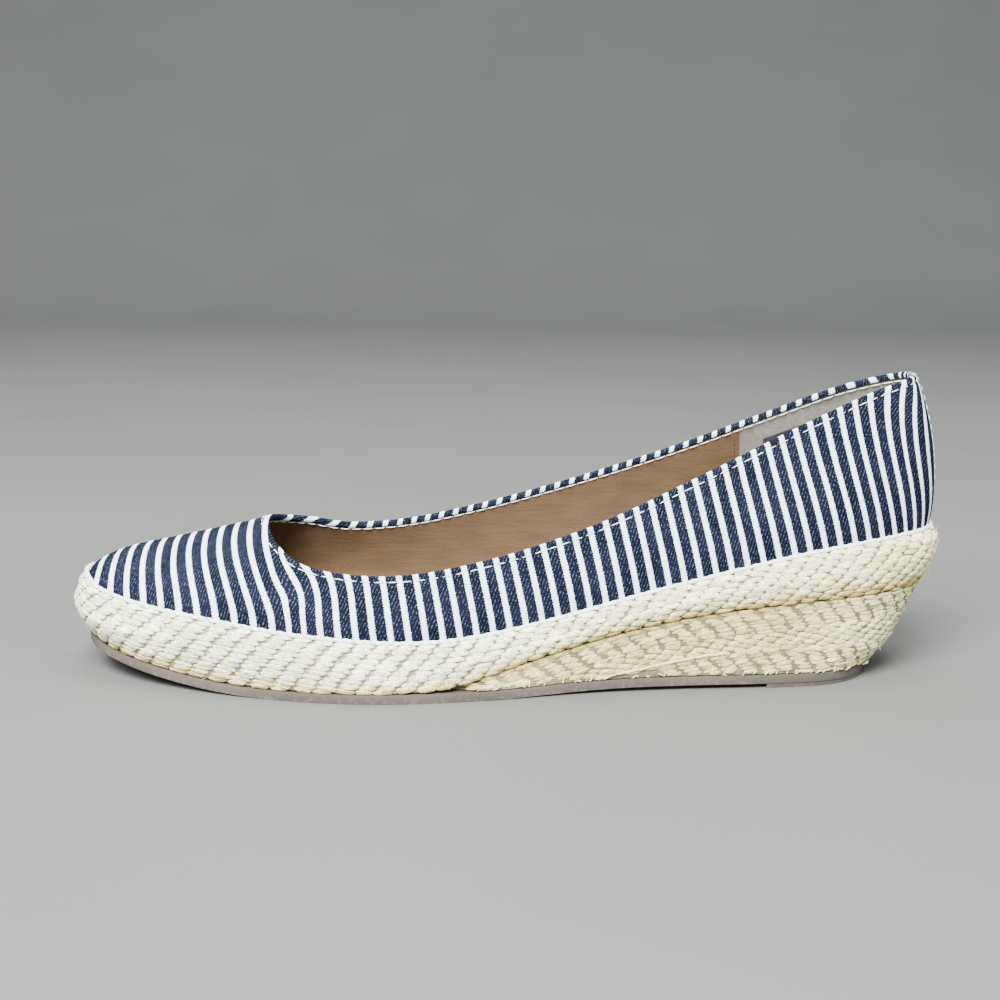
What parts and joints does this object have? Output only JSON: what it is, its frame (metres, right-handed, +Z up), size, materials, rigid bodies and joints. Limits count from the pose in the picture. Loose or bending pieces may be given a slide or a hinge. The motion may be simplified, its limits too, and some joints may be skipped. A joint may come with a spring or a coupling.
{
  "type": "espadrille wedge pump",
  "caption": "Low wedge espadrille pump for the left foot: striped canvas upper, woven jute band over a jute-wrapped wedge, thin rubber outsole with a raised heel tread.",
  "frame": {"origin": "on the floor, under the centre of the shoe's box", "axes": "+X from toe to heel, +Y from the outer (lateral) side to the inner side, +Z up"},
  "size_m": [0.2548, 0.085, 0.0878],
  "materials": {
    "outsole_rubber": "matt moulded rubber with a rough trimmed edge",
    "wedge_jute": "herringbone jute cloth wrapped round the wedge",
    "band_jute": "woven jute tape, paler than the wedge",
    "sock_leather": "smooth tan lining leather",
    "striped_canvas": "navy and white striped cotton twill",
    "heel_suede": "grey brushed microfibre at the inside of the heel",
    "white_thread": "white sewing thread and edge cord"
  },
  "bodies": {
    "root": {"outsole": "outsole_rubber", "wedge_midsole": "wedge_jute", "jute_band": "band_jute", "insole": "sock_leather", "upper": "striped_canvas"}
  },
  "joints": []
}
